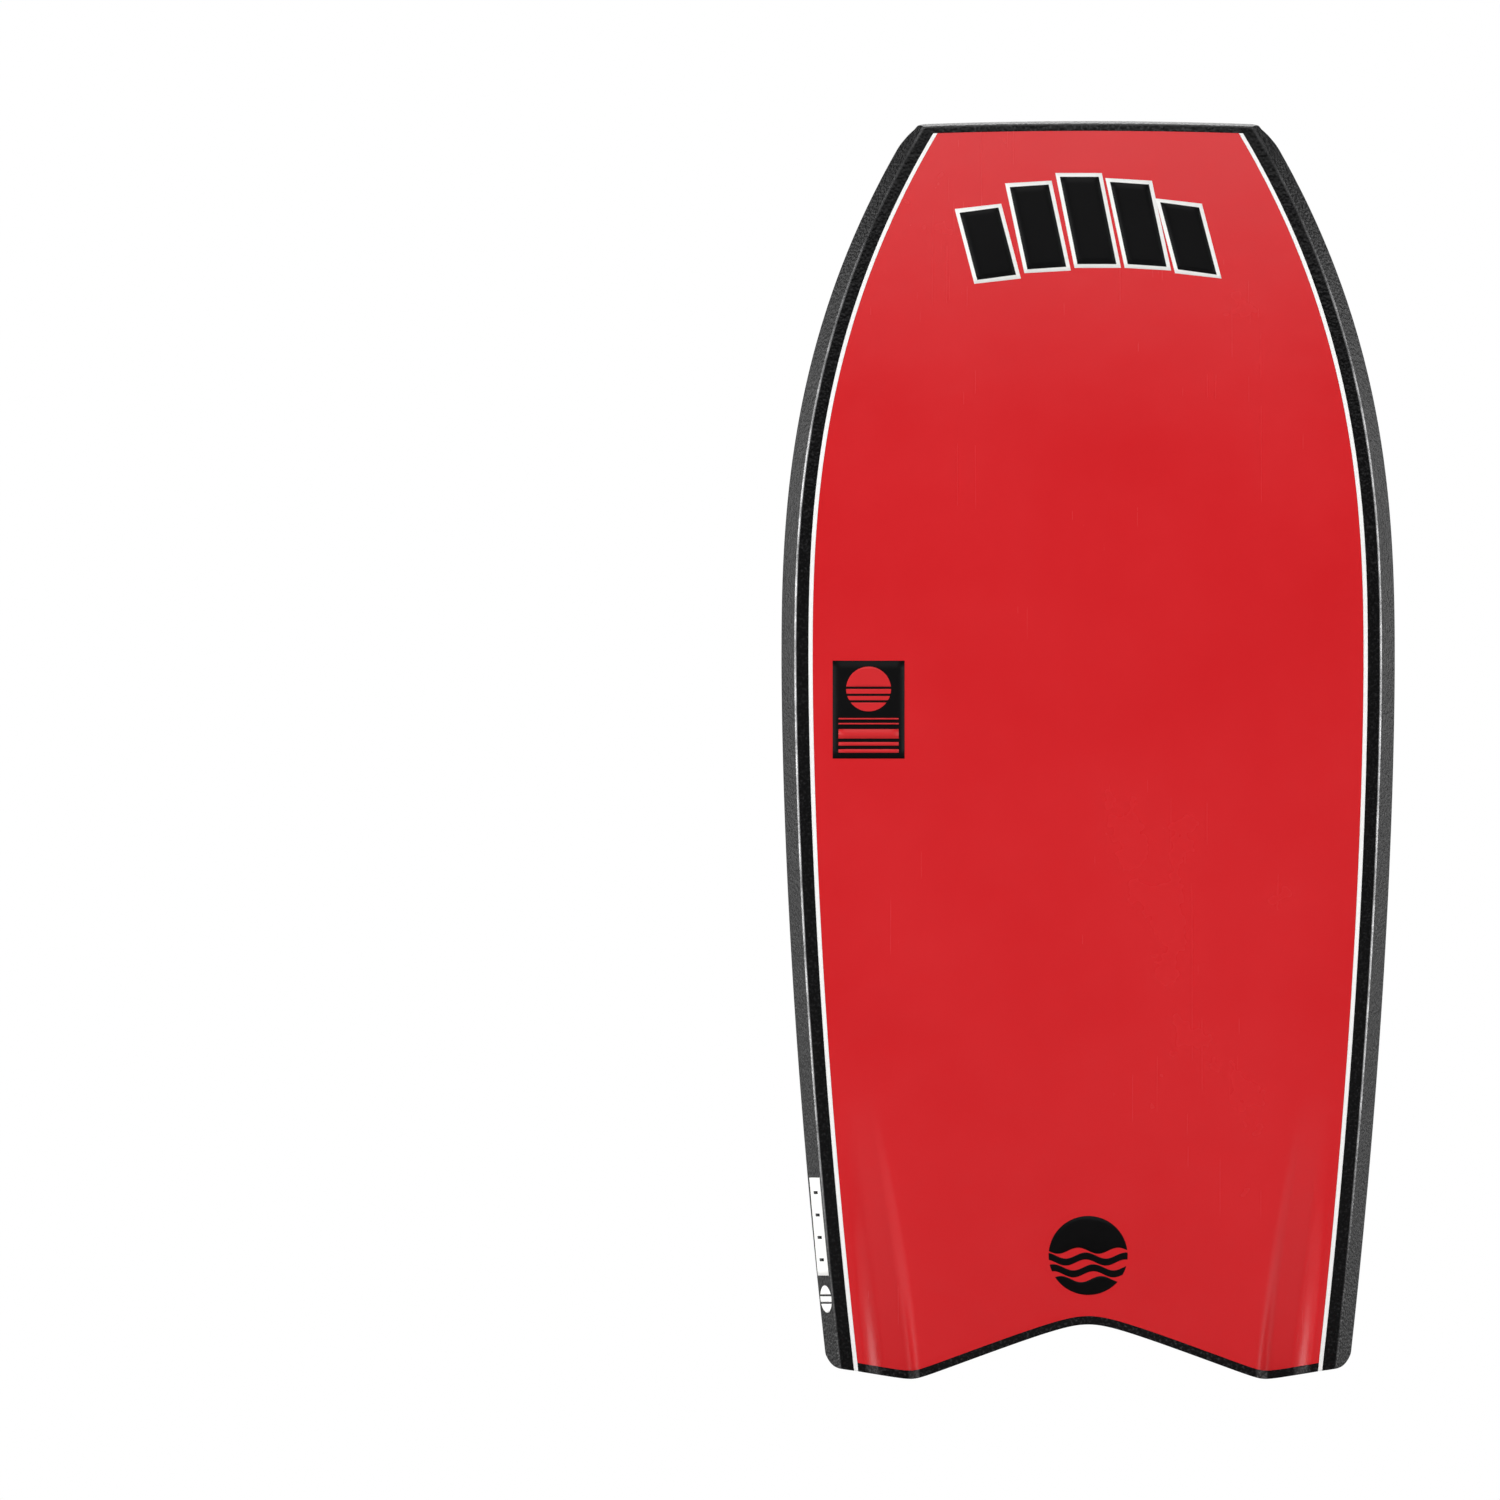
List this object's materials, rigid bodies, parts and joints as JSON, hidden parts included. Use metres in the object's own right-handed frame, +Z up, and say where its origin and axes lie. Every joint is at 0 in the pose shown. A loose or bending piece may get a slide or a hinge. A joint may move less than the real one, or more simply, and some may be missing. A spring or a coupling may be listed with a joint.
{
  "type": "bodyboard",
  "caption": "Foam bodyboard with a bat tail, a black deck, a red slick with two tail channels, bevelled rails and white pinlines.",
  "frame": {"origin": "middle of the slick on the centreline, halfway up the length, on the flat of the slick face", "axes": "+Z up to the nose, along the length; +Y out of the slick, -Y out of the deck; +X across, to the left of someone who lies on the deck facing the nose. The board is given as it is shown and hung: upright, held at the slick, which is how its two faces are both seen. It lies on its slick or its deck when nothing holds it."},
  "size_m": [0.521, 0.0753, 1.067],
  "materials": {
    "foam_core": "cut closed-cell polyethylene foam, off-white",
    "deck_skin": "black cross-linked foam skin with a fine pebble",
    "slick_sheet": "red extruded sheet, smooth, satin gloss",
    "slick_mesh": "open plastic mesh bonded below the slick",
    "rail_foam": "black closed-cell foam strip, pebbled",
    "bumper_foam": "black closed-cell foam strip, coarser pebble",
    "pinline": "white foam strip",
    "stringer": "dark pultruded composite tube",
    "stringer_cap": "moulded plug",
    "print_white": "white screen-printed film",
    "print_black": "black screen-printed film",
    "print_red": "red screen-printed film"
  },
  "bodies": {
    "root": {"foam_core": "foam_core", "deck_skin": "deck_skin", "slick_sheet": "slick_sheet", "slick_mesh": "slick_mesh", "lower_rail_left": "rail_foam", "lower_rail_right": "rail_foam", "upper_rail_left": "rail_foam", "upper_rail_right": "rail_foam", "pinline_left": "pinline", "pinline_right": "pinline", "nose_bumper": "bumper_foam", "tail_bumper": "bumper_foam", "tail_pinline": "pinline", "stringer_tube": "stringer", "stringer_cap_front": "stringer_cap", "stringer_cap_rear": "stringer_cap", "bore_plug": "foam_core"}
  },
  "joints": []
}
